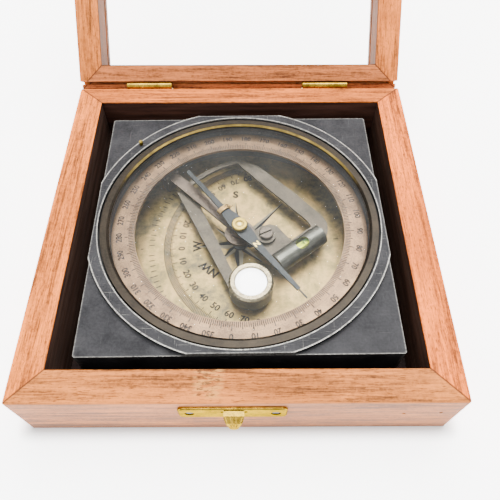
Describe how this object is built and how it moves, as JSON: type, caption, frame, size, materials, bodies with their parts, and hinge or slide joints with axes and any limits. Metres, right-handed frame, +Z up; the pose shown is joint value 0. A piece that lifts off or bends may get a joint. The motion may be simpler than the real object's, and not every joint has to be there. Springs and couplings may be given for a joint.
{
  "type": "boxed bearing compass with clinometer",
  "caption": "Square-based bearing compass with clinometer, levels and liftable needle, in a glazed-lid wooden case",
  "frame": {"origin": "centre of the case's underside, between the outer faces of its walls", "axes": "+Z up out of the case, +Y from the latch towards the hinges, +X to the right as seen from the latch side"},
  "size_m": [0.1374, 0.249, 0.1366],
  "materials": {
    "case_wood": "satin, worn",
    "lid_wood": "satin, worn",
    "lid_glass": "clear sheet",
    "nail_steel": "dull",
    "latch_brass": "bright, scratched",
    "body_enamel": "dark, worn at the edges",
    "bezel_bronze": "dull bronze",
    "cover_glass": "clear",
    "gasket": "matt",
    "ring_copper": "pinkish, engraved",
    "dial_brass": "dull olive, engraved",
    "blued_steel": "blued",
    "bright_brass": "bright",
    "jewel": "polished stone",
    "coil_wire": "bare wire",
    "lifter_metal": "pinkish grey, worn plating",
    "pin_steel": "turned",
    "frame_metal": "pinkish grey, worn plating",
    "level_steel": "dark plating",
    "vial_glass": "clear",
    "level_fluid": "yellow-green liquid",
    "round_fluid": "pale liquid",
    "screw_metal": "worn plating"
  },
  "bodies": {
    "case": {"case_front": "case_wood", "case_back": "case_wood", "case_left": "case_wood", "case_right": "case_wood", "case_floor": "case_wood", "case_brads": "nail_steel", "latch_plate": "latch_brass", "latch_nails": "nail_steel", "hinge_case_leaf_left": "latch_brass", "hinge_case_leaf_right": "latch_brass", "hinge_pins": "latch_brass", "hinge_nails_case": "nail_steel"},
    "lid": {"lid_front": "lid_wood", "lid_back": "lid_wood", "lid_left": "lid_wood", "lid_right": "lid_wood", "lid_glass": "lid_glass", "hinge_lid_leaf_left": "latch_brass", "hinge_lid_leaf_right": "latch_brass", "hinge_nails_lid": "nail_steel", "hasp_plate": "latch_brass", "hasp_nails": "nail_steel", "hasp_pin": "latch_brass"},
    "hasp": {"hasp_loop": "latch_brass"},
    "compass": {"compass_body": "body_enamel", "bezel_ring": "bezel_bronze", "cover_glass": "cover_glass", "glass_gasket": "gasket", "dial_plate": "dial_brass", "needle_pivot": "blued_steel", "lifter_bracket": "lifter_metal", "lifter_fulcrum_pin": "pin_steel", "clinometer_bush": "bright_brass", "lift_spring": "coil_wire"},
    "degree_circle": {"graduated_ring": "ring_copper"},
    "lift_button": {"lift_pin": "bright_brass"},
    "lifter": {"lifter_lever": "lifter_metal"},
    "lifting_ring": {"lifter_ring": "lifter_metal"},
    "needle_card": {"needle": "blued_steel", "needle_cap": "bright_brass", "needle_jewel": "jewel", "needle_counterweight": "coil_wire"},
    "clinometer": {"clinometer_frame": "frame_metal", "level_tube": "level_steel", "level_end_plugs": "level_steel", "level_vial": "vial_glass", "level_fluid": "level_fluid", "round_level_cup": "level_steel", "round_level_rim": "level_steel", "round_level_glass": "vial_glass", "round_level_fluid": "round_fluid", "pivot_boss": "screw_metal", "pivot_screw": "screw_metal", "clinometer_shaft": "pin_steel", "setting_lever": "screw_metal"}
  },
  "joints": [
    {"name": "lid_hinge", "type": "hinge", "parent": "case", "child": "lid", "pos_m": [0, 0.06955, 0.0264], "axis": [-1, 0, 0], "range_deg": [-134, 34]},
    {"name": "hasp_hinge", "type": "hinge", "parent": "lid", "child": "hasp", "pos_m": [0, 0.16786, 0.12504], "axis": [-1, 0, 0], "range_deg": [0, 150]},
    {"name": "compass_lift", "type": "slide", "parent": "case", "child": "compass", "axis": [0, 0, 1], "range_m": [0, 0.045]},
    {"name": "declination_turn", "type": "hinge", "parent": "compass", "child": "degree_circle", "pos_m": [0.0002, 0.00075, 0.0171], "axis": [0, 0, 1], "range_deg": [-23.3, 36.7]},
    {"name": "lift_pin_press", "type": "slide", "parent": "compass", "child": "lift_button", "axis": [0, 0, -1], "range_m": [0, 0.000299], "stiffness_N_per_m": 900, "springref_m": -0.0003, "deforming": ["lift_spring"]},
    {"name": "lifter_rock", "type": "hinge", "parent": "compass", "child": "lifter", "pos_m": [-0.02872, 0.03052, 0.0127], "axis": [-0.7046, -0.7096, 0], "range_deg": [0, 1.41]},
    {"name": "lifter_ring_rise", "type": "slide", "parent": "compass", "child": "lifting_ring", "axis": [0, 0, 1], "range_m": [0, 0.00102]},
    {"name": "needle_swing", "type": "hinge", "parent": "lifting_ring", "child": "needle_card", "pos_m": [0.0002, 0.00075, 0.0188], "axis": [0, 0, 1], "continuous": true},
    {"name": "clinometer_turn", "type": "hinge", "parent": "compass", "child": "clinometer", "pos_m": [0.0102, 0.00015, 0.0115], "axis": [0, 0, 1], "range_deg": [-32, 136]}
  ],
  "couplings": [
    {"joint": "lifter_rock", "follows": "lift_pin_press", "rad_per_m": 80.645},
    {"joint": "lifter_ring_rise", "follows": "lift_pin_press", "ratio": 3.3468}
  ]
}
